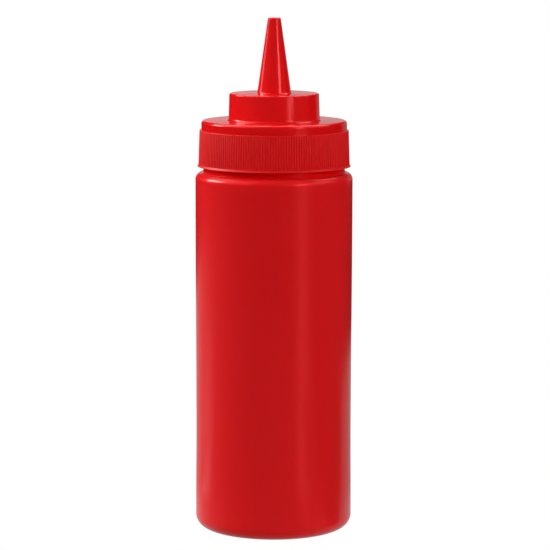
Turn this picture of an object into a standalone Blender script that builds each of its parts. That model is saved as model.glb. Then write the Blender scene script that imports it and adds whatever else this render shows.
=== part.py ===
"""A squeeze bottle for sauces: a round body with a short neck, closed by a ribbed cap with a cone nozzle.

Lengths are in metres and +Z is up. The origin is the middle of the base, on the surface it stands on.
Both pieces are turned about the Z axis. The bottle is shut, so the body is solid, and its neck fills
the cap's recess apart from a thin gap.
"""

import math

import bmesh
import bpy

# Resolution
SEGMENTS = 72
CORNER_STEPS = 5
FILLET_STEPS = 3
WALL_STEPS = 7

# Bottle: base
BODY_RADIUS = 0.0360
BASE_CORNER = 0.0060
BASE_RING_WIDTH = 0.0035
BASE_HOLLOW_DEPTH = 0.0018
BASE_HOLLOW_SLOPE = 0.0050

# Bottle: wall, which draws in slightly at its waist as the plastic cools
WAIST_DEPTH = 0.00024
WAIST_HEIGHT = 0.048
WAIST_REACH_DOWN = 0.042
WAIST_REACH_UP = 0.100

# Bottle: shoulder and neck
SHOULDER_HEIGHT = 0.1653
SHOULDER_CORNER = 0.0034
SHOULDER_RISE = 0.0001
NECK_RADIUS = 0.0324

# Cap: skirt, which flares into a lip along its lower edge
CAP_BOTTOM = 0.1679
LIP_RADIUS = 0.0351
LIP_HEIGHT = 0.0011
LIP_TOP = CAP_BOTTOM + LIP_HEIGHT
LIP_CORNER = 0.0002
LIP_FLARE_POWER = 1.5
RIB_COUNT = 180
RIB_DEPTH = 0.00028
RIB_TOP = 0.1845
RIB_CHAMFER = 0.0003
RIB_RADIUS_LOW = 0.03462
RIB_RADIUS_HIGH = 0.03412

# Cap: disc on top of the skirt, and the boss on the disc
DISC_RADIUS = 0.03328
DISC_TOP = 0.1889
DISC_CORNER = 0.0013
BOSS_RADIUS_LOW = 0.0208
BOSS_RADIUS_HIGH = 0.0205
BOSS_TOP = 0.2013
BOSS_CORNER = 0.0007
BOSS_FILLET = 0.0012

# Cap: nozzle and the hole in its tip
NOZZLE_RADIUS_LOW = 0.00765
NOZZLE_RADIUS_HIGH = 0.0030
NOZZLE_TOP = 0.2356
NOZZLE_CORNER = 0.0007
NOZZLE_FILLET = 0.0007
ORIFICE_RADIUS = 0.0014
ORIFICE_DEPTH = 0.012
ORIFICE_SEGMENTS = 24

# How the neck sits in the cap
CLEARANCE = 0.0003
CAP_ROOF = 0.0018
RECESS_TOP = DISC_TOP - CAP_ROOF

# How far a joined or cutting shape reaches into, or past, the piece it works on
OVERLAP = 0.0005
AXIS_MERGE = 0.0001
SHARP_ANGLE = math.radians(30)

RED = (0.56, 0.010, 0.011, 1.0)
BODY_ROUGHNESS = 0.34
CAP_ROUGHNESS = 0.22


def clear_scene():
    """Removes whatever the scene holds, such as the startup objects."""
    for obj in list(bpy.data.objects):
        bpy.data.objects.remove(obj, do_unlink=True)


def new_collection(name):
    collection = bpy.data.collections.new(name)
    bpy.context.scene.collection.children.link(collection)
    return collection


def plastic(name, roughness):
    """A coloured plastic with a Principled surface."""
    material = bpy.data.materials.new(name)
    material.use_nodes = True
    shader = material.node_tree.nodes["Principled BSDF"]
    shader.inputs["Base Color"].default_value = RED
    shader.inputs["Roughness"].default_value = roughness
    shader.inputs["Metallic"].default_value = 0.0
    material.diffuse_color = RED
    return material


def arc(centre_r, centre_z, radius, start, end, steps):
    """Points of a profile on a circle, from one angle to another in degrees, both ends included."""
    points = []
    for step in range(steps + 1):
        angle = math.radians(start + (end - start) * step / steps)
        points.append((centre_r + radius * math.cos(angle), centre_z + radius * math.sin(angle)))
    return points


def wall_radius(z):
    """Radius of the body's wall at height z: the full radius, less the shallow waist."""
    reach = WAIST_REACH_UP if z > WAIST_HEIGHT else WAIST_REACH_DOWN
    share = min(1.0, abs(z - WAIST_HEIGHT) / reach)
    return BODY_RADIUS - WAIST_DEPTH * 0.5 * (1 + math.cos(math.pi * share))


def body_profile():
    """The bottle's outline from the middle of the neck's top, down the outside, to the base."""
    neck_top = RECESS_TOP - CLEARANCE
    ring_outer = BODY_RADIUS - BASE_CORNER
    ring_inner = ring_outer - BASE_RING_WIDTH
    wall_top = SHOULDER_HEIGHT - SHOULDER_CORNER
    points = [(0, neck_top), (NECK_RADIUS, neck_top)]
    points.append((NECK_RADIUS, SHOULDER_HEIGHT + SHOULDER_RISE))
    points += arc(BODY_RADIUS - SHOULDER_CORNER, wall_top, SHOULDER_CORNER, 90, 0, CORNER_STEPS)
    for step in range(1, WALL_STEPS):
        z = wall_top + (BASE_CORNER - wall_top) * step / WALL_STEPS
        points.append((wall_radius(z), z))
    points += arc(ring_outer, BASE_CORNER, BASE_CORNER, 0, -90, CORNER_STEPS)
    points.append((ring_inner, 0))
    points.append((ring_inner - BASE_HOLLOW_SLOPE, BASE_HOLLOW_DEPTH))
    points.append((0, BASE_HOLLOW_DEPTH))
    return points


def outer_corner(radius, z, size):
    """A rounded outer edge between a level top at height z and a wall of the given radius."""
    return arc(radius - size, z - size, size, 90, 0, FILLET_STEPS)


def hollow_corner(radius, z, size):
    """A hollow rounding at the foot of a wall of the given radius, which stands on a level face at z."""
    return arc(radius + size, z + size, size, 180, 270, FILLET_STEPS)


def lip_flare():
    """The lip's outer side, which curves out from below the ribs to the lip's rounded lower edge."""
    height = LIP_HEIGHT - LIP_CORNER
    points = []
    for step in range(FILLET_STEPS):
        share = step / FILLET_STEPS
        spread = (LIP_RADIUS - RIB_RADIUS_LOW) * share ** LIP_FLARE_POWER
        points.append((RIB_RADIUS_LOW + spread, LIP_TOP - height * share))
    return points


def cap_profile():
    """The cap's outline without its ribs, from the middle of the tip, down the outside, to the lip."""
    points = [(0, NOZZLE_TOP)]
    points += outer_corner(NOZZLE_RADIUS_HIGH, NOZZLE_TOP, NOZZLE_CORNER)
    points += hollow_corner(NOZZLE_RADIUS_LOW, BOSS_TOP, NOZZLE_FILLET)
    points += outer_corner(BOSS_RADIUS_HIGH, BOSS_TOP, BOSS_CORNER)
    points += hollow_corner(BOSS_RADIUS_LOW, DISC_TOP, BOSS_FILLET)
    points += outer_corner(DISC_RADIUS, DISC_TOP, DISC_CORNER)
    points.append((DISC_RADIUS, LIP_TOP))
    points += lip_flare()
    points += arc(LIP_RADIUS - LIP_CORNER, CAP_BOTTOM + LIP_CORNER, LIP_CORNER, 0, -90, FILLET_STEPS)
    points.append((0, CAP_BOTTOM))
    return points


def turned(name, profile, collection):
    """A solid made by turning a profile, which stands at +X, about the Z axis."""
    mesh = bpy.data.meshes.new(name)
    vertices = [(r, 0, z) for r, z in profile]
    edges = [(i, i + 1) for i in range(len(profile) - 1)]
    mesh.from_pydata(vertices, edges, [])
    obj = bpy.data.objects.new(name, mesh)
    collection.objects.link(obj)
    screw = obj.modifiers.new("turn", "SCREW")
    screw.axis = "Z"
    screw.steps = SEGMENTS
    screw.render_steps = SEGMENTS
    screw.use_merge_vertices = True
    screw.merge_threshold = AXIS_MERGE
    return obj


def helper(name, mesh, collection):
    """An object that only cuts or joins, so it is left out of renders."""
    obj = bpy.data.objects.new(name, mesh)
    collection.objects.link(obj)
    obj.hide_render = True
    obj.display_type = "WIRE"
    return obj


def cylinder(name, radius, bottom, top, segments, collection):
    mesh = bpy.data.meshes.new(name)
    shape = bmesh.new()
    bmesh.ops.create_cone(
        shape, cap_ends=True, segments=segments, radius1=radius, radius2=radius, depth=top - bottom
    )
    shape.to_mesh(mesh)
    shape.free()
    obj = helper(name, mesh, collection)
    obj.location.z = (bottom + top) / 2
    return obj


def rib_crest_radius(z):
    """Radius of a rib's crest at height z: the band narrows upwards."""
    share = (z - LIP_TOP) / (RIB_TOP - LIP_TOP)
    return RIB_RADIUS_LOW + (RIB_RADIUS_HIGH - RIB_RADIUS_LOW) * share


def rib_band(collection):
    """The ribbed band as a cone whose vertices stand out and in by turns, with its upper edge chamfered."""
    bottom = LIP_TOP - OVERLAP
    chamfer_start = RIB_TOP - RIB_CHAMFER
    mesh = bpy.data.meshes.new("rib_band")
    shape = bmesh.new()
    bmesh.ops.create_cone(
        shape, cap_ends=True, segments=2 * RIB_COUNT,
        radius1=RIB_RADIUS_LOW, radius2=RIB_RADIUS_HIGH, depth=RIB_TOP - bottom,
    )
    bmesh.ops.translate(shape, verts=shape.verts, vec=(0, 0, (RIB_TOP + bottom) / 2))
    everything = shape.verts[:] + shape.edges[:] + shape.faces[:]
    bmesh.ops.bisect_plane(shape, geom=everything, plane_co=(0, 0, chamfer_start), plane_no=(0, 0, 1))
    for vertex in shape.verts:
        angle = math.atan2(vertex.co.y, vertex.co.x)
        is_crest = round(angle / math.pi * RIB_COUNT) % 2 == 0
        at_top = vertex.co.z > chamfer_start + RIB_CHAMFER / 2
        radius = rib_crest_radius(vertex.co.z)
        if at_top or not is_crest:
            radius -= RIB_DEPTH
        vertex.co.x = radius * math.cos(angle)
        vertex.co.y = radius * math.sin(angle)
    shape.to_mesh(mesh)
    shape.free()
    return helper("rib_band", mesh, collection)


def combine(obj, other, operation):
    """Adds a Boolean that joins another object to this one, or cuts it away."""
    boolean = obj.modifiers.new(other.name, "BOOLEAN")
    boolean.operation = operation
    boolean.solver = "EXACT"
    boolean.object = other


def settle(obj, material):
    """Turns the modifiers into the object's own mesh, shades it smooth and gives it its material."""
    bpy.context.view_layer.update()
    evaluated = obj.evaluated_get(bpy.context.evaluated_depsgraph_get())
    mesh = bpy.data.meshes.new_from_object(evaluated)
    obj.modifiers.clear()
    obj.data = mesh
    mesh.name = obj.name
    mesh.shade_smooth()
    mesh.set_sharp_from_angle(angle=SHARP_ANGLE)
    mesh.materials.clear()
    mesh.materials.append(material)


def make_bottle(collection):
    bottle = turned("bottle", body_profile(), collection)
    settle(bottle, plastic("satin_red_plastic", BODY_ROUGHNESS))
    return bottle


def make_cap(collection, helpers):
    """The cap's turned shape, with the rib band joined on and the recess and the orifice cut out."""
    cap = turned("cap", cap_profile(), collection)
    recess = cylinder(
        "neck_recess", NECK_RADIUS + CLEARANCE,
        bottom=CAP_BOTTOM - OVERLAP, top=RECESS_TOP, segments=SEGMENTS, collection=helpers,
    )
    orifice = cylinder(
        "orifice", ORIFICE_RADIUS,
        bottom=NOZZLE_TOP - ORIFICE_DEPTH, top=NOZZLE_TOP + OVERLAP,
        segments=ORIFICE_SEGMENTS, collection=helpers,
    )
    combine(cap, rib_band(helpers), "UNION")
    combine(cap, recess, "DIFFERENCE")
    combine(cap, orifice, "DIFFERENCE")
    settle(cap, plastic("glossy_red_plastic", CAP_ROUGHNESS))
    return cap


def main():
    clear_scene()
    parts = new_collection("squeeze_bottle")
    helpers = new_collection("cutters")
    make_bottle(parts)
    make_cap(parts, helpers)


main()
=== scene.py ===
"""The looks of a squeeze bottle: its satin body, its ribbed glossy cap, and a plain studio round them.

Laid out as an add-on and run as a script. Lengths are in metres and +Z is up. The pieces stand for the
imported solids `bottle` and `cap`, and lie where those lie.
"""

import math

import bmesh
import bpy
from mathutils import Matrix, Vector


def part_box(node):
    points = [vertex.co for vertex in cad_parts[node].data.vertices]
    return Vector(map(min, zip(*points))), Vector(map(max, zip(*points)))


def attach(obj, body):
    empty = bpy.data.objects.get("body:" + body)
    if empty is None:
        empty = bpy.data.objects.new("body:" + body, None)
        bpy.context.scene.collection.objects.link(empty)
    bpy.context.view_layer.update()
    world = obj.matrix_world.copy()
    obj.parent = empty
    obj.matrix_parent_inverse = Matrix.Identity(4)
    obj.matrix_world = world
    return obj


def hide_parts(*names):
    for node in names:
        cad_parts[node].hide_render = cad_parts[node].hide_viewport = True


bl_info = {
    "name": "Squeeze Bottle",
    "version": (1, 0, 0),
    "blender": (4, 5, 0),
    "location": "View3D > Sidebar > Squeeze Bottle",
    "description": "Makes a moulded squeeze bottle with a ribbed cap and a cone nozzle, and its studio",
    "category": "Object",
}

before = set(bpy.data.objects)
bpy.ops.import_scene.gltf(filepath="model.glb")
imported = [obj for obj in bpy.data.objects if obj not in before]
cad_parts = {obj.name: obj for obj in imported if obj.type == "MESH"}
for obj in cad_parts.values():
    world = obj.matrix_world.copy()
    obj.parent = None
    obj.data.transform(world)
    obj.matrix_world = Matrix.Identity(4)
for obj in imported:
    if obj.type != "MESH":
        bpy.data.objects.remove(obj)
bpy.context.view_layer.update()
_, BOTTLE_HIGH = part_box("bottle")
CAP_LOW, CAP_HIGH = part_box("cap")
BODY = "root"

MM = 0.001
IMAGE_PIXELS = 550
SENSOR_WIDTH_MM = 36.0
SHARP_ANGLE = math.radians(35)

# How many pieces each part of an outline is cut into
SHOULDER_STEPS = 16
WALL_STEPS = 48
BASE_CORNER_STEPS = 20
BASE_SLOPE_STEPS = 12
NOZZLE_STEPS = 12
DISC_CORNER_STEPS = 10
RIB_END_STEPS = 3
LIP_STEPS = 8
LIP_CORNER_STEPS = 6
FINE_CORNER_STEPS = 4

# Angle in degrees at which the shoulder's rounding starts; at 90 it would start level
SHOULDER_START = 88

# How far the nozzle's and the boss's walls lean from upright, in whole degrees, for their roundings
NOZZLE_LEAN = 8
BOSS_LEAN = 1

# Radius of the small roundings at the orifice and at the recess
FINE_CORNER = 0.2 * MM

# Powers that shape the skirt: below 1 the ribs' crests are broad, above 1 the lip flares out late
RIB_POWER = 0.7
LIP_POWER = 1.5

# Finish of each plastic: the tint of its reflections, the fine grain, and how much and how deep light
# scatters inside it
SATIN_FINISH = {
    "specular_tint": (1, 0.1, 0.1, 1),
    "grain_scale": 1500,
    "grain_height": 0.16,
    "bump_distance": 0.05 * MM,
    "scatter": 0.8,
    "scatter_depth": 8 * MM,
}
GLOSSY_FINISH = {
    "specular_tint": (1, 0.2, 0.2, 1),
    "grain_scale": 2200,
    "grain_height": 0.04,
    "bump_distance": 0.02 * MM,
    "scatter": 0.4,
    "scatter_depth": 0.8 * MM,
}
# The ribs' finish: reflections tinted darker than the cap's, as painted shade between the ribs, and no
# light scattered inside
GRIP_FINISH_AND_SHADE = {
    **GLOSSY_FINISH,
    "specular_tint": (0.8, 0.15, 0.15, 1),
    "scatter": 0.0,
}
PLASTIC_IOR = 1.5

# Red light spreads much farther inside the plastic than green and blue do
SCATTER_SPREAD = (1.0, 0.08, 0.08)

# Softboxes: azimuth, elevation, width and height in degrees, and strength
SOFTBOXES = {
    "left_key": (-103, 25, 30, 14, 20.5),
    "left_lower": (-108.5, 12.5, 16, 13, 3.4),
    "left_side": (-74, 41, 56, 34, 3.2),
    "right_strip": (42, 20, 15, 28, 11.5),
    "right_key": (80, 32, 40, 30, 1.75),
    "back_low": (180, 6, 24, 14, 0.46),
    "back_right": (150, 5, 30, 20, 0.2),
    "top_front": (8, 74, 56, 5, 2.4),
    "top_back": (180, 62, 70, 30, 4.6),
}

# The softboxes are aimed at a point on the bottle's axis: their distance from it, and its height
SOFTBOX_DISTANCE = 2.0
AIM_HEIGHT = 0.12

# Gleams on the floor: azimuth in degrees, nearest and farthest reach, width and strength
FLOOR_GLEAMS = {
    "foot_gleam": (39, 0.045, 0.13, 0.014, 0.5),
    "near_gleam": (39, 0.13, 0.4, 0.045, 1.5),
    "middle_gleam": (42, 0.4, 1.5, 0.18, 1.8),
    "far_gleam": (42, 1.5, 5.0, 0.9, 1.9),
    "left_near_gleam": (-104, 0.10, 0.25, 0.045, 0.5),
    "left_middle_gleam": (-107, 0.25, 0.6, 0.12, 0.35),
}

# Corners of the dark card that lies on the floor at the bottle's right, as (x, y)
FLOOR_CARD = ((0.037, -0.02), (0.50, -0.25), (0.56, 0.30))
CARD_COLOUR = (0.01, 0.01, 0.01, 1)

# The floor lies just under the bottle, and the card and the gleams just over the floor
FLOOR_LEVEL = -0.0001
CARD_LEVEL = 0.0003
GLEAM_LEVEL = 0.001
FLOOR_RADIUS = 6.0
FLOOR_SEGMENTS = 96

# The glowing table top: its middle, its radius, and how far its edge fades to either side
TABLE_MIDDLE = (-0.34, 0, 0)
TABLE_RADIUS = 0.75
TABLE_FADE = 0.05

# The floor glows more round the bottle's foot, up to the first radius, and fades up to the second
FOOT_RADIUS = 0.06
FOOT_FADE_RADIUS = 0.12

# The room is dim in directions whose Y is above ROOM_BACK, and bright in those whose Y is below
# ROOM_FRONT
ROOM_BACK = 0.3
ROOM_FRONT = -0.5

# Glow of the table top, what the floor round the foot adds to it, the glow of the floor beyond the
# table, of the room's back, and of its front, which is the camera's side
TABLE_GLOW = 0.40
FOOT_GLOW = 0.18
FLOOR_GLOW = 0.02
ROOM_GLOW = 0.02
FRONT_GLOW = 0.40


class BottleSizes(bpy.types.PropertyGroup):
    """Sizes of the blown body and its neck."""

    radius: bpy.props.FloatProperty(
        name="Radius", description="Radius of the body at its shoulder",
        default=BOTTLE_HIGH.x, unit="LENGTH",
    )
    neck_top: bpy.props.FloatProperty(
        name="Neck Top", description="Height of the neck's upper end, inside the cap",
        default=BOTTLE_HIGH.z, unit="LENGTH",
    )
    neck_radius: bpy.props.FloatProperty(
        name="Neck Radius", description="Radius of the neck below the cap",
        default=32.4 * MM, unit="LENGTH",
    )
    shoulder_height: bpy.props.FloatProperty(
        name="Shoulder Height", description="Height of the shoulder's upper side",
        default=165.3 * MM, unit="LENGTH",
    )
    shoulder_corner: bpy.props.FloatProperty(
        name="Shoulder Corner", description="Radius of the rounding between the wall and the shoulder",
        default=3.4 * MM, unit="LENGTH",
    )
    neck_slope: bpy.props.FloatProperty(
        name="Neck Slope", description="Height of the small slope where the neck leaves the shoulder",
        default=0.3 * MM, unit="LENGTH",
    )
    base_corner: bpy.props.FloatProperty(
        name="Base Corner", description="Radius of the rounding between the wall and the base",
        default=6.0 * MM, unit="LENGTH",
    )
    base_ring: bpy.props.FloatProperty(
        name="Base Ring", description="Width of the flat ring that the bottle stands on",
        default=3.5 * MM, unit="LENGTH",
    )
    base_slope: bpy.props.FloatProperty(
        name="Base Slope", description="Width of the slope from the ring to the hollow's flat middle",
        default=5.0 * MM, unit="LENGTH",
    )
    base_hollow: bpy.props.FloatProperty(
        name="Base Hollow", description="Depth of the hollow in the base",
        default=1.8 * MM, unit="LENGTH",
    )
    waist_depth: bpy.props.FloatProperty(
        name="Waist Depth", description="How far the wall draws in at its waist",
        default=0.24 * MM, unit="LENGTH",
    )
    waist_height: bpy.props.FloatProperty(
        name="Waist Height", description="Height of the waist's narrowest place",
        default=48 * MM, unit="LENGTH",
    )
    waist_below: bpy.props.FloatProperty(
        name="Waist Below", description="How far down from its middle the waist reaches",
        default=42 * MM, unit="LENGTH",
    )
    waist_above: bpy.props.FloatProperty(
        name="Waist Above", description="How far up from its middle the waist reaches",
        default=100 * MM, unit="LENGTH",
    )


class CapSizes(bpy.types.PropertyGroup):
    """Sizes of the moulded cap."""

    bottom: bpy.props.FloatProperty(
        name="Bottom", description="Height of the skirt's lower edge",
        default=CAP_LOW.z, unit="LENGTH",
    )
    lip_radius: bpy.props.FloatProperty(
        name="Lip Radius", description="Radius of the lip round the skirt's lower edge",
        default=CAP_HIGH.x, unit="LENGTH",
    )
    lip_corner: bpy.props.FloatProperty(
        name="Lip Corner", description="Radius of the lip's rounded lower edge",
        default=0.2 * MM, unit="LENGTH",
    )
    lip_height: bpy.props.FloatProperty(
        name="Lip Height", description="Height from the skirt's lower edge to where the ribs start",
        default=1.1 * MM, unit="LENGTH",
    )
    rib_count: bpy.props.IntProperty(
        name="Rib Count", description="Number of ribs round the skirt", default=180, min=12,
    )
    rib_depth: bpy.props.FloatProperty(
        name="Rib Depth", description="Depth of the grooves between the ribs",
        default=0.28 * MM, unit="LENGTH",
    )
    rib_top: bpy.props.FloatProperty(
        name="Rib Top", description="Height of the ribs' upper ends",
        default=184.5 * MM, unit="LENGTH",
    )
    rib_chamfer: bpy.props.FloatProperty(
        name="Rib Chamfer", description="Height over which a rib's upper end rounds in",
        default=0.3 * MM, unit="LENGTH",
    )
    rib_radius_low: bpy.props.FloatProperty(
        name="Rib Radius Low", description="Radius of the ribs' crests at the lip",
        default=34.62 * MM, unit="LENGTH",
    )
    rib_radius_high: bpy.props.FloatProperty(
        name="Rib Radius High", description="Radius of the ribs' crests at their upper ends",
        default=34.12 * MM, unit="LENGTH",
    )
    disc_radius: bpy.props.FloatProperty(
        name="Disc Radius", description="Radius of the disc on top of the skirt",
        default=33.28 * MM, unit="LENGTH",
    )
    disc_top: bpy.props.FloatProperty(
        name="Disc Top", description="Height of the disc's upper face",
        default=188.9 * MM, unit="LENGTH",
    )
    disc_corner: bpy.props.FloatProperty(
        name="Disc Corner", description="Radius of the disc's rounded edge",
        default=1.3 * MM, unit="LENGTH",
    )
    boss_radius_low: bpy.props.FloatProperty(
        name="Boss Radius Low", description="Radius of the boss at the disc",
        default=20.8 * MM, unit="LENGTH",
    )
    boss_radius_high: bpy.props.FloatProperty(
        name="Boss Radius High", description="Radius of the boss at its top",
        default=20.5 * MM, unit="LENGTH",
    )
    boss_top: bpy.props.FloatProperty(
        name="Boss Top", description="Height of the boss's upper face",
        default=201.3 * MM, unit="LENGTH",
    )
    boss_corner: bpy.props.FloatProperty(
        name="Boss Corner", description="Radius of the boss's rounded upper edge",
        default=0.7 * MM, unit="LENGTH",
    )
    boss_fillet: bpy.props.FloatProperty(
        name="Boss Fillet", description="Radius of the hollow rounding at the boss's foot",
        default=1.2 * MM, unit="LENGTH",
    )
    nozzle_radius_low: bpy.props.FloatProperty(
        name="Nozzle Radius Low", description="Radius of the nozzle at the boss",
        default=7.65 * MM, unit="LENGTH",
    )
    nozzle_radius_high: bpy.props.FloatProperty(
        name="Nozzle Radius High", description="Radius of the nozzle at its tip",
        default=3.0 * MM, unit="LENGTH",
    )
    nozzle_top: bpy.props.FloatProperty(
        name="Nozzle Top", description="Height of the nozzle's tip",
        default=CAP_HIGH.z, unit="LENGTH",
    )
    nozzle_corner: bpy.props.FloatProperty(
        name="Nozzle Corner", description="Radius of the tip's rounded edge",
        default=0.7 * MM, unit="LENGTH",
    )
    nozzle_fillet: bpy.props.FloatProperty(
        name="Nozzle Fillet", description="Radius of the hollow rounding at the nozzle's foot",
        default=0.7 * MM, unit="LENGTH",
    )
    orifice_radius: bpy.props.FloatProperty(
        name="Orifice Radius", description="Radius of the hole in the tip",
        default=1.4 * MM, unit="LENGTH",
    )
    orifice_depth: bpy.props.FloatProperty(
        name="Orifice Depth", description="Depth of the hole in the tip",
        default=12 * MM, unit="LENGTH",
    )
    recess_radius: bpy.props.FloatProperty(
        name="Recess Radius", description="Radius of the recess that the neck fills",
        default=32.7 * MM, unit="LENGTH",
    )
    recess_top: bpy.props.FloatProperty(
        name="Recess Top", description="Height of the recess's roof",
        default=187.1 * MM, unit="LENGTH",
    )


class PlasticLook(bpy.types.PropertyGroup):
    """Colour and finish of the two plastics, with painted light on the neck and painted shade on the
    ribs.
    """

    body_colour: bpy.props.FloatVectorProperty(
        name="Body Colour", description="Colour of the body's plastic",
        subtype="COLOR", size=3, min=0, max=1, default=(0.56, 0.0080, 0.0098),
    )
    # Painted light: the neck is coloured brighter than the body's plastic, for light in the shaded gap
    # under the cap's lip
    neck_painted_light_colour: bpy.props.FloatVectorProperty(
        name="Neck Colour", description="Colour of the neck, whose thinner wall lets light through",
        subtype="COLOR", size=3, min=0, max=1, default=(0.78, 0.0020, 0.0030),
    )
    # Painted shade: the ribs are coloured darker than the cap, for the shade in the grooves between them
    rib_painted_shade_colour: bpy.props.FloatVectorProperty(
        name="Rib Colour", description="Colour of the ribs' duller plastic",
        subtype="COLOR", size=3, min=0, max=1, default=(0.52, 0.0034, 0.0045),
    )
    cap_colour: bpy.props.FloatVectorProperty(
        name="Cap Colour", description="Colour of the cap's plastic",
        subtype="COLOR", size=3, min=0, max=1, default=(0.56, 0.0034, 0.0045),
    )
    body_roughness: bpy.props.FloatProperty(
        name="Body Roughness", description="Roughness of the satin body",
        default=0.19, min=0, max=1, subtype="FACTOR",
    )
    cap_roughness: bpy.props.FloatProperty(
        name="Cap Roughness", description="Roughness of the glossy cap",
        default=0.14, min=0, max=1, subtype="FACTOR",
    )
    rib_roughness: bpy.props.FloatProperty(
        name="Rib Roughness", description="Roughness of the duller ribs, where the cap is gripped",
        default=0.42, min=0, max=1, subtype="FACTOR",
    )


class StageLook(bpy.types.PropertyGroup):
    """Light, floor and camera."""

    light_level: bpy.props.FloatProperty(
        name="Light Level", description="Brightness of all lights together",
        default=1.0, min=0, subtype="FACTOR", soft_max=2,
    )
    camera_distance: bpy.props.FloatProperty(
        name="Camera Distance", description="Level distance from the bottle's axis to the camera",
        default=1249.2 * MM, unit="LENGTH",
    )
    camera_height: bpy.props.FloatProperty(
        name="Camera Height", description="Height of the camera above the floor",
        default=289.7 * MM, unit="LENGTH",
    )
    camera_aside: bpy.props.FloatProperty(
        name="Camera Aside", description="How far right of the bottle's axis the camera stands",
        default=0.17 * MM, unit="LENGTH",
    )
    camera_pitch: bpy.props.FloatProperty(
        name="Camera Pitch", description="How far down the camera looks",
        default=math.radians(7.85), subtype="ANGLE",
    )
    camera_roll: bpy.props.FloatProperty(
        name="Camera Roll", description="How far the camera leans to its right",
        default=math.radians(-0.12), subtype="ANGLE",
    )
    focal_pixels: bpy.props.FloatProperty(
        name="Focal Length", description="Focal length in pixels of the square image",
        default=2738, min=100,
    )


def arc(centre_r, centre_z, radius, start, end, steps=8):
    """Points (radius, height) on a circle, from one angle to another in degrees, both ends included."""
    points = []
    for step in range(steps + 1):
        angle = math.radians(start + (end - start) * step / steps)
        points.append((centre_r + radius * math.cos(angle), centre_z + radius * math.sin(angle)))
    return points


def rounded_edge(r, z, radius, lean=0, steps=8):
    """The rounding of an upper edge, from a level face at height z to a wall at radius r."""
    return arc(r - radius, z - radius, radius, 90, lean, steps)


def hollow_foot(r, z, radius, lean=0):
    """The hollow rounding at the foot of a wall at radius r that stands on a level face at height z."""
    return arc(r + radius, z + radius, radius, 180 + lean, 270)


def straight(start, end, steps):
    """Points between two profile points, both left out."""
    points = []
    for step in range(1, steps):
        share = step / steps
        points.append(tuple(a + (b - a) * share for a, b in zip(start, end)))
    return points


def add_ring(shape, radii, z):
    """A ring of vertices at height z, one for each radius in the list, evenly spaced round the axis."""
    ring = []
    for i, radius in enumerate(radii):
        angle = 2 * math.pi * i / len(radii)
        ring.append(shape.verts.new((radius * math.cos(angle), radius * math.sin(angle), z)))
    return ring


def join_rings(shape, first, second):
    """Faces between two rings. One may be a single vertex, or have several for each of the other's."""
    count = min(len(first), len(second))
    if count == 1:
        count = max(len(first), len(second))
    for i in range(count):
        near = stretch_of(first, i, count)
        far = stretch_of(second, i, count)
        shape.faces.new(near[::-1] + far)


def stretch_of(ring, i, count):
    """The vertices on stretch i of a ring that is divided into `count` equal stretches."""
    if len(ring) == 1:
        return [ring[0]]
    per = len(ring) // count
    return [ring[k % len(ring)] for k in range(i * per, (i + 1) * per + 1)]


def finish_mesh(name, shape, material, node):
    """Makes the piece from the mesh, and has it ride on the body in place of its solid."""
    if not all(edge.is_manifold for edge in shape.edges):
        raise RuntimeError(f"{name} isn't a closed mesh")
    bmesh.ops.recalc_face_normals(shape, faces=shape.faces[:])
    mesh = bpy.data.meshes.new(name)
    shape.to_mesh(mesh)
    shape.free()
    mesh.shade_smooth()
    mesh.set_sharp_from_angle(angle=SHARP_ANGLE)
    mesh.materials.append(material)
    piece = bpy.data.objects.new(name, mesh)
    bpy.context.scene.collection.objects.link(piece)
    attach(piece, BODY)
    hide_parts(node)
    return piece


def wall_radius(sizes, z):
    """Radius of the body's wall at height z: the full radius, less the shallow waist."""
    reach = sizes.waist_above if z > sizes.waist_height else sizes.waist_below
    share = min(1.0, abs(z - sizes.waist_height) / reach)
    return sizes.radius - sizes.waist_depth * 0.5 * (1 + math.cos(math.pi * share))


def bottle_profile(sizes):
    """The bottle's outline from the neck's top, down the outside, to the hollow in the base."""
    neck_r = sizes.neck_radius
    points = [(neck_r, sizes.neck_top), (neck_r, sizes.shoulder_height + sizes.neck_slope)]

    wall_top = sizes.shoulder_height - sizes.shoulder_corner
    shoulder_r = sizes.radius - sizes.shoulder_corner
    points += arc(shoulder_r, wall_top, sizes.shoulder_corner, SHOULDER_START, 0, SHOULDER_STEPS)

    for step in range(1, WALL_STEPS):
        z = wall_top + (sizes.base_corner - wall_top) * step / WALL_STEPS
        points.append((wall_radius(sizes, z), z))

    ring_outer = sizes.radius - sizes.base_corner
    ring_inner = ring_outer - sizes.base_ring
    points += arc(ring_outer, sizes.base_corner, sizes.base_corner, 0, -90, BASE_CORNER_STEPS)
    points.append((ring_inner, 0))

    for step in range(1, BASE_SLOPE_STEPS + 1):
        share = step / BASE_SLOPE_STEPS
        rise = 0.5 * (1 - math.cos(math.pi * share))
        points.append((ring_inner - sizes.base_slope * share, sizes.base_hollow * rise))
    return points


def make_bottle_mesh(sizes, segments=240):
    """The body and its neck as one closed mesh."""
    shape = bmesh.new()
    last = [shape.verts.new((0, 0, sizes.neck_top))]
    for radius, z in bottle_profile(sizes):
        ring = add_ring(shape, [radius] * segments, z)
        join_rings(shape, last, ring)
        last = ring
    join_rings(shape, last, [shape.verts.new((0, 0, sizes.base_hollow))])
    return shape


def rib_relief(turn):
    """How far out the skirt stands, from 0 in a groove to 1 on a crest. One turn is one rib's width."""
    return abs(math.cos(math.pi * turn)) ** RIB_POWER


def rib_rows(sizes):
    """Heights of the ribbed band's rings, from the top down, each with its share of the ribs' depth."""
    rows = []
    for step in range(RIB_END_STEPS + 1):
        share = step / RIB_END_STEPS
        drop = sizes.rib_chamfer * (1 - math.cos(math.pi / 2 * share))
        rows.append((sizes.rib_top - drop, math.sin(math.pi / 2 * share)))
    rows.append((sizes.bottom + sizes.lip_height, 1.0))
    return rows


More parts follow.
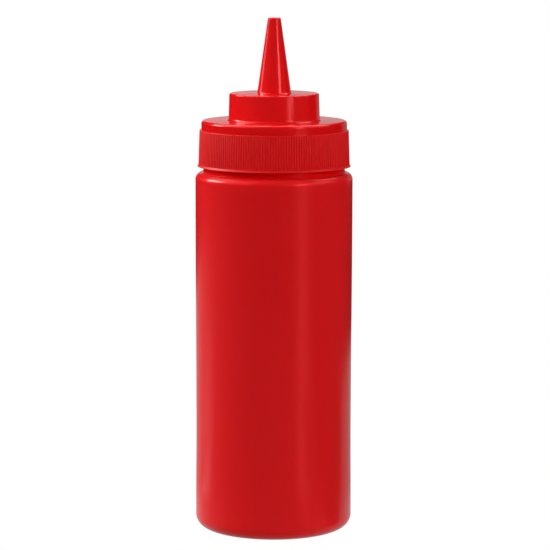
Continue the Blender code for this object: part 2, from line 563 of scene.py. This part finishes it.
def cap_upper_profile(sizes):
    """The cap's outline from the floor of its orifice, over the tip, to the ledge above the ribs."""
    tip = sizes.nozzle_top
    hole_r = sizes.orifice_radius
    points = [(hole_r, tip - sizes.orifice_depth), (hole_r, tip - FINE_CORNER)]
    points += arc(hole_r + FINE_CORNER, tip - FINE_CORNER, FINE_CORNER, 180, 90, FINE_CORNER_STEPS)
    points += rounded_edge(sizes.nozzle_radius_high, tip, sizes.nozzle_corner, NOZZLE_LEAN)
    cone_foot = (sizes.nozzle_radius_low, sizes.boss_top + sizes.nozzle_fillet)
    points += straight(points[-1], cone_foot, NOZZLE_STEPS)
    points += hollow_foot(sizes.nozzle_radius_low, sizes.boss_top, sizes.nozzle_fillet, NOZZLE_LEAN)
    points += rounded_edge(sizes.boss_radius_high, sizes.boss_top, sizes.boss_corner, BOSS_LEAN)
    points += hollow_foot(sizes.boss_radius_low, sizes.disc_top, sizes.boss_fillet, BOSS_LEAN)
    points += rounded_edge(
        sizes.disc_radius, sizes.disc_top, sizes.disc_corner, steps=DISC_CORNER_STEPS,
    )
    points.append((sizes.disc_radius, sizes.rib_top))
    return points


def cap_lower_profile(sizes):
    """The cap's outline from the lip, round the skirt's lower edge, to the recess for the neck."""
    corner = sizes.lip_corner
    drop = sizes.lip_height - corner
    points = []
    for step in range(1, LIP_STEPS):
        share = step / LIP_STEPS
        spread = (sizes.lip_radius - sizes.rib_radius_low) * share ** LIP_POWER
        points.append((sizes.rib_radius_low + spread, sizes.bottom + sizes.lip_height - drop * share))
    points += arc(sizes.lip_radius - corner, sizes.bottom + corner, corner, 0, -90, LIP_CORNER_STEPS)
    inner_r = sizes.recess_radius + FINE_CORNER
    points += arc(inner_r, sizes.bottom + FINE_CORNER, FINE_CORNER, 270, 180, FINE_CORNER_STEPS)
    points.append((sizes.recess_radius, sizes.recess_top))
    return points


def make_cap_mesh(sizes, samples=8):
    """The cap as one closed mesh. Only the ribbed band has the fine rings that its ribs need."""
    coarse = sizes.rib_count
    fine = sizes.rib_count * samples
    shape = bmesh.new()
    last = [shape.verts.new((0, 0, sizes.nozzle_top - sizes.orifice_depth))]
    for radius, z in cap_upper_profile(sizes):
        ring = add_ring(shape, [radius] * coarse, z)
        join_rings(shape, last, ring)
        last = ring
    height = sizes.rib_top - sizes.bottom - sizes.lip_height
    flare = sizes.rib_radius_low - sizes.rib_radius_high
    for z, share in rib_rows(sizes):
        crest = sizes.rib_radius_high + flare * (sizes.rib_top - z) / height
        radii = []
        for i in range(fine):
            relief = rib_relief(i % samples / samples)
            radii.append(crest - sizes.rib_depth * (1 - relief * share))
        ring = add_ring(shape, radii, z)
        join_rings(shape, last, ring)
        last = ring
    for radius, z in cap_lower_profile(sizes):
        ring = add_ring(shape, [radius] * coarse, z)
        join_rings(shape, last, ring)
        last = ring
    join_rings(shape, last, [shape.verts.new((0, 0, sizes.recess_top))])
    return shape


def add_input(group, name, kind, default):
    """A named input of a node group, with the value that it has unless another is given."""
    made = group.interface.new_socket(name=name, in_out="INPUT", socket_type=kind)
    made.default_value = default


def maths(tree, operation, *values):
    """A maths node's output. Each value is a socket to link from, or a plain number."""
    node = tree.nodes.new("ShaderNodeMath")
    node.operation = operation
    for value, place in zip(values, node.inputs):
        if isinstance(value, (int, float)):
            place.default_value = value
        else:
            tree.links.new(value, place)
    return node.outputs["Value"]


def noise(tree, place, detail, scale=None):
    """A noise texture over the given coordinates."""
    node = tree.nodes.new("ShaderNodeTexNoise")
    node.inputs["Detail"].default_value = detail
    if scale is not None:
        node.inputs["Scale"].default_value = scale
    tree.links.new(place, node.inputs["Vector"])
    return node


def smooth_range(tree, value, start, end, before, after):
    """A value that goes smoothly from `before` to `after` while another goes from start to end."""
    node = tree.nodes.new("ShaderNodeMapRange")
    node.interpolation_type = "SMOOTHSTEP"
    node.inputs["From Min"].default_value = start
    node.inputs["From Max"].default_value = end
    node.inputs["To Min"].default_value = before
    node.inputs["To Max"].default_value = after
    tree.links.new(value, node.inputs["Value"])
    return node.outputs["Result"]


def shade_for_camera(tree, lit, seen, surface):
    """Gives a surface the shader `seen` for the camera's own rays, and `lit` for all others."""
    path = tree.nodes.new("ShaderNodeLightPath")
    mix = tree.nodes.new("ShaderNodeMixShader")
    tree.links.new(path.outputs["Is Camera Ray"], mix.inputs["Fac"])
    tree.links.new(lit, mix.inputs[1])
    tree.links.new(seen, mix.inputs[2])
    tree.links.new(mix.outputs["Shader"], surface)


def moulded_surface_group():
    """Shader group: the fine grain, flow marks and slight unevenness of a moulded plastic surface."""
    name = "Moulded Surface"
    if name in bpy.data.node_groups:
        return bpy.data.node_groups[name]
    group = bpy.data.node_groups.new(name, "ShaderNodeTree")
    add_input(group, "Colour", "NodeSocketColor", (0.5, 0.01, 0.01, 1))
    add_input(group, "Colour Variation", "NodeSocketFloat", 0.03)
    add_input(group, "Roughness", "NodeSocketFloat", 0.3)
    add_input(group, "Roughness Variation", "NodeSocketFloat", 0.03)
    add_input(group, "Grain Scale", "NodeSocketFloat", 1600)
    add_input(group, "Grain Height", "NodeSocketFloat", 0.3)
    group.interface.new_socket(name="Colour", in_out="OUTPUT", socket_type="NodeSocketColor")
    group.interface.new_socket(name="Roughness", in_out="OUTPUT", socket_type="NodeSocketFloat")
    group.interface.new_socket(name="Height", in_out="OUTPUT", socket_type="NodeSocketFloat")
    nodes, links = group.nodes, group.links
    given = nodes.new("NodeGroupInput")
    out = nodes.new("NodeGroupOutput")
    place = nodes.new("ShaderNodeTexCoord")

    # Flow marks are drawn out along the height, and the swell is broad and even
    stretch = nodes.new("ShaderNodeMapping")
    stretch.inputs["Scale"].default_value = (1, 1, 0.12)
    links.new(place.outputs["Object"], stretch.inputs["Vector"])
    flow = noise(group, stretch.outputs["Vector"], detail=3, scale=180)
    grain = noise(group, place.outputs["Object"], detail=2)
    links.new(given.outputs["Grain Scale"], grain.inputs["Scale"])
    swell = noise(group, place.outputs["Object"], detail=1, scale=45)

    flow_level = maths(group, "SUBTRACT", flow.outputs["Fac"], 0.5)
    variation = maths(group, "MULTIPLY", flow_level, given.outputs["Colour Variation"])
    tint = nodes.new("ShaderNodeVectorMath")
    tint.operation = "SCALE"
    links.new(given.outputs["Colour"], tint.inputs[0])
    links.new(maths(group, "ADD", variation, 1.0), tint.inputs["Scale"])
    links.new(tint.outputs["Vector"], out.inputs["Colour"])

    unevenness = maths(group, "MULTIPLY", flow_level, given.outputs["Roughness Variation"])
    roughness = maths(group, "ADD", given.outputs["Roughness"], unevenness)
    links.new(roughness, out.inputs["Roughness"])

    fine = maths(group, "MULTIPLY", grain.outputs["Fac"], given.outputs["Grain Height"])
    links.new(maths(group, "ADD", fine, swell.outputs["Fac"]), out.inputs["Height"])
    return group


def plastic(name, colour, roughness, finish):
    """A moulded plastic: the surface group feeds a Principled shader and its bump."""
    material = bpy.data.materials.new(name)
    material.use_nodes = True
    nodes, links = material.node_tree.nodes, material.node_tree.links
    shader = nodes["Principled BSDF"]
    surface = nodes.new("ShaderNodeGroup")
    surface.node_tree = moulded_surface_group()
    surface.inputs["Colour"].default_value = (*colour, 1)
    surface.inputs["Roughness"].default_value = roughness
    surface.inputs["Grain Scale"].default_value = finish["grain_scale"]
    surface.inputs["Grain Height"].default_value = finish["grain_height"]
    bump = nodes.new("ShaderNodeBump")
    bump.inputs["Distance"].default_value = finish["bump_distance"]
    links.new(surface.outputs["Colour"], shader.inputs["Base Color"])
    links.new(surface.outputs["Roughness"], shader.inputs["Roughness"])
    links.new(surface.outputs["Height"], bump.inputs["Height"])
    links.new(bump.outputs["Normal"], shader.inputs["Normal"])
    shader.inputs["IOR"].default_value = PLASTIC_IOR
    shader.inputs["Specular Tint"].default_value = finish["specular_tint"]
    shader.inputs["Subsurface Weight"].default_value = finish["scatter"]
    shader.inputs["Subsurface Radius"].default_value = SCATTER_SPREAD
    shader.inputs["Subsurface Scale"].default_value = finish["scatter_depth"]
    return material


def area_light(name, width, height, strength):
    """A rectangular light, unseen by the camera, whose brightness doesn't depend on its size."""
    data = bpy.data.lights.new(name, "AREA")
    data.shape = "RECTANGLE"
    data.size = width
    data.size_y = height
    data.energy = strength * math.pi * data.size * data.size_y
    lamp = bpy.data.objects.new(name, data)
    lamp.visible_camera = False
    bpy.context.scene.collection.objects.link(lamp)
    return lamp


def add_softbox(name, azimuth, elevation, width, height, strength):
    """A light aimed at the bottle. Azimuth 0 is the camera's side and 90 the right, in degrees."""
    lamp = area_light(
        name,
        2 * SOFTBOX_DISTANCE * math.tan(math.radians(width / 2)),
        2 * SOFTBOX_DISTANCE * math.tan(math.radians(height / 2)),
        strength,
    )
    turn, lift = math.radians(azimuth), math.radians(elevation)
    away = Vector((math.sin(turn) * math.cos(lift), -math.cos(turn) * math.cos(lift), math.sin(lift)))
    lamp.location = Vector((0, 0, AIM_HEIGHT)) + away * SOFTBOX_DISTANCE
    lamp.rotation_mode = "QUATERNION"
    lamp.rotation_quaternion = away.to_track_quat("Z", "Y")


def add_floor_gleam(name, azimuth, near, far, width, strength):
    """A gleam on the floor: a long light that lies on it, points up and leads away from the bottle."""
    lamp = area_light(name, width, far - near, strength)
    turn = math.radians(azimuth)
    middle = (near + far) / 2
    lamp.location = (math.sin(turn) * middle, -math.cos(turn) * middle, GLEAM_LEVEL)
    lamp.rotation_euler = (math.radians(180), 0, turn)


def add_stage_mesh(name, shape, material):
    """Adds a mesh that belongs to the studio and not to the part."""
    mesh = bpy.data.meshes.new(name)
    shape.to_mesh(mesh)
    shape.free()
    mesh.materials.append(material)
    thing = bpy.data.objects.new(name, mesh)
    bpy.context.scene.collection.objects.link(thing)
    return thing


def make_floor(table_glow, foot_glow, floor_glow):
    """A pale floor: white to the camera, and to all else a softly glowing table in a dimmer room."""
    material = bpy.data.materials.new("pale_floor")
    material.use_nodes = True
    tree = material.node_tree
    nodes, links = tree.nodes, tree.links
    nodes.clear()
    out = nodes.new("ShaderNodeOutputMaterial")
    place = nodes.new("ShaderNodeTexCoord")
    from_middle = nodes.new("ShaderNodeVectorMath")
    from_middle.operation = "DISTANCE"
    from_middle.inputs[1].default_value = TABLE_MIDDLE
    links.new(place.outputs["Object"], from_middle.inputs[0])
    from_bottle = nodes.new("ShaderNodeVectorMath")
    from_bottle.operation = "LENGTH"
    links.new(place.outputs["Object"], from_bottle.inputs[0])
    table = smooth_range(
        tree, from_middle.outputs["Value"],
        TABLE_RADIUS - TABLE_FADE, TABLE_RADIUS + TABLE_FADE, table_glow, floor_glow,
    )
    foot = smooth_range(
        tree, from_bottle.outputs["Value"], FOOT_RADIUS, FOOT_FADE_RADIUS, foot_glow, 0.0,
    )
    glowing = nodes.new("ShaderNodeEmission")
    links.new(maths(tree, "ADD", table, foot), glowing.inputs["Strength"])
    white = nodes.new("ShaderNodeEmission")
    shade_for_camera(tree, glowing.outputs["Emission"], white.outputs["Emission"], out.inputs["Surface"])

    shape = bmesh.new()
    bmesh.ops.create_circle(shape, cap_ends=True, segments=FLOOR_SEGMENTS, radius=FLOOR_RADIUS)
    floor = add_stage_mesh("floor", shape, material)
    floor.location.z = FLOOR_LEVEL


def make_floor_card():
    """A dark card, unseen by the camera, that keeps the floor's glow off the bottle's right side."""
    material = bpy.data.materials.new("dark_card")
    material.use_nodes = True
    shader = material.node_tree.nodes["Principled BSDF"]
    shader.inputs["Base Color"].default_value = CARD_COLOUR
    shader.inputs["Roughness"].default_value = 1.0

    shape = bmesh.new()
    shape.faces.new([shape.verts.new((x, y, CARD_LEVEL)) for x, y in FLOOR_CARD])
    card = add_stage_mesh("floor_card", shape, material)
    card.visible_camera = False


def make_world(room_glow, front_glow):
    """A world that lights softly, brighter from the camera's side, and looks white to the camera."""
    world = bpy.data.worlds.new("studio")
    world.use_nodes = True
    tree = world.node_tree
    nodes, links = tree.nodes, tree.links
    lit = nodes["Background"]
    lit.inputs["Color"].default_value = (1, 1, 1, 1)
    place = nodes.new("ShaderNodeTexCoord")
    parts = nodes.new("ShaderNodeSeparateXYZ")
    links.new(place.outputs["Generated"], parts.inputs["Vector"])
    glow = smooth_range(tree, parts.outputs["Y"], ROOM_BACK, ROOM_FRONT, room_glow, front_glow)
    links.new(glow, lit.inputs["Strength"])
    seen = nodes.new("ShaderNodeBackground")
    seen.inputs["Color"].default_value = (1, 1, 1, 1)
    surface = nodes["World Output"].inputs["Surface"]
    shade_for_camera(tree, lit.outputs["Background"], seen.outputs["Background"], surface)
    bpy.context.scene.world = world


def make_camera(look):
    """The camera at the photo's distance, height and angle."""
    data = bpy.data.cameras.new("camera")
    data.sensor_width = SENSOR_WIDTH_MM
    data.lens = look.focal_pixels / IMAGE_PIXELS * SENSOR_WIDTH_MM
    data.clip_start = 0.05
    camera = bpy.data.objects.new("camera", data)
    camera.location = (look.camera_aside, -look.camera_distance, look.camera_height)
    camera.rotation_euler = (math.radians(90) - look.camera_pitch, look.camera_roll, 0)
    bpy.context.scene.collection.objects.link(camera)
    bpy.context.scene.camera = camera


class SQUEEZE_OT_make_bottle(bpy.types.Operator):
    """Makes the bottle's body and neck from the sizes in the panel"""

    bl_idname = "squeeze.make_bottle"
    bl_label = "Make Bottle"

    def execute(self, context):
        look = context.scene.squeeze_plastic
        satin = plastic("satin_red", look.body_colour, look.body_roughness, SATIN_FINISH)
        # The neck's faces get a brighter copy of the satin plastic: painted light in the shaded gap
        # under the cap
        glowing = plastic("painted_light_neck_red", look.neck_painted_light_colour, look.body_roughness, SATIN_FINISH)
        sizes = context.scene.squeeze_bottle
        shape = make_bottle_mesh(sizes)
        piece = finish_mesh("bottle_body", shape, satin, "bottle")
        piece.data.materials.append(glowing)
        for face in piece.data.polygons:
            face.material_index = int(face.center.z > sizes.shoulder_height)
        return {"FINISHED"}


class SQUEEZE_OT_make_cap(bpy.types.Operator):
    """Makes the cap with its ribs, boss and nozzle from the sizes in the panel"""

    bl_idname = "squeeze.make_cap"
    bl_label = "Make Cap"

    def execute(self, context):
        look = context.scene.squeeze_plastic
        glossy = plastic("glossy_red", look.cap_colour, look.cap_roughness, GLOSSY_FINISH)
        # The ribbed band gets a darker, rougher plastic: its darker colour and reflections are painted
        # shade between the ribs
        shaded_grip = plastic("ribbed_painted_shade_red", look.rib_painted_shade_colour, look.rib_roughness, GRIP_FINISH_AND_SHADE)
        sizes = context.scene.squeeze_cap
        shape = make_cap_mesh(sizes)
        piece = finish_mesh("cap_with_nozzle", shape, glossy, "cap")
        piece.data.materials.append(shaded_grip)
        # Faces of the ribbed band take the ribs' painted shade
        for face in piece.data.polygons:
            is_outside = Vector(face.center[:2]).length > sizes.disc_radius
            is_gripped = sizes.bottom + sizes.lip_corner < face.center.z < sizes.rib_top
            face.material_index = int(is_outside and is_gripped)
        return {"FINISHED"}


class SQUEEZE_OT_set_stage(bpy.types.Operator):
    """Makes the floor, the lights, the world and the camera"""

    bl_idname = "squeeze.set_stage"
    bl_label = "Set Stage"

    def execute(self, context):
        look = context.scene.squeeze_stage
        level = look.light_level
        make_floor(TABLE_GLOW * level, FOOT_GLOW * level, FLOOR_GLOW * level)
        make_floor_card()
        make_world(ROOM_GLOW * level, FRONT_GLOW * level)
        for name, (azimuth, elevation, width, height, strength) in SOFTBOXES.items():
            add_softbox(name, azimuth, elevation, width, height, strength * level)
        for name, (azimuth, near, far, width, strength) in FLOOR_GLEAMS.items():
            add_floor_gleam(name, azimuth, near, far, width, strength * level)
        make_camera(look)
        context.scene.view_settings.view_transform = "Standard"
        return {"FINISHED"}


class SQUEEZE_PT_panel(bpy.types.Panel):
    """The squeeze bottle's sizes and looks, and the buttons that make it"""

    bl_label = "Squeeze Bottle"
    bl_idname = "SQUEEZE_PT_panel"
    bl_space_type = "VIEW_3D"
    bl_region_type = "UI"
    bl_category = "Squeeze Bottle"

    def draw(self, context):
        for settings in SETTINGS:
            box = self.layout.box()
            group = getattr(context.scene, settings)
            for name in group.bl_rna.properties.keys():
                if name not in ("rna_type", "name"):
                    box.prop(group, name)
        for operator in OPERATORS:
            self.layout.operator(operator.bl_idname)


SETTINGS = {
    "squeeze_bottle": BottleSizes,
    "squeeze_cap": CapSizes,
    "squeeze_plastic": PlasticLook,
    "squeeze_stage": StageLook,
}
OPERATORS = (SQUEEZE_OT_make_bottle, SQUEEZE_OT_make_cap, SQUEEZE_OT_set_stage)


def register():
    """Registers the classes, and gives the scene their settings."""
    for name, group in SETTINGS.items():
        bpy.utils.register_class(group)
        setattr(bpy.types.Scene, name, bpy.props.PointerProperty(type=group))
    for cls in (*OPERATORS, SQUEEZE_PT_panel):
        bpy.utils.register_class(cls)


def unregister():
    """Undoes what register does, in the other order."""
    for cls in (SQUEEZE_PT_panel, *reversed(OPERATORS)):
        bpy.utils.unregister_class(cls)
    for name, group in reversed(SETTINGS.items()):
        delattr(bpy.types.Scene, name)
        bpy.utils.unregister_class(group)


def main():
    """Registers the add-on, and makes the bottle and its studio."""
    register()
    bpy.ops.squeeze.make_bottle()
    bpy.ops.squeeze.make_cap()
    bpy.ops.squeeze.set_stage()


if __name__ == "__main__":
    main()
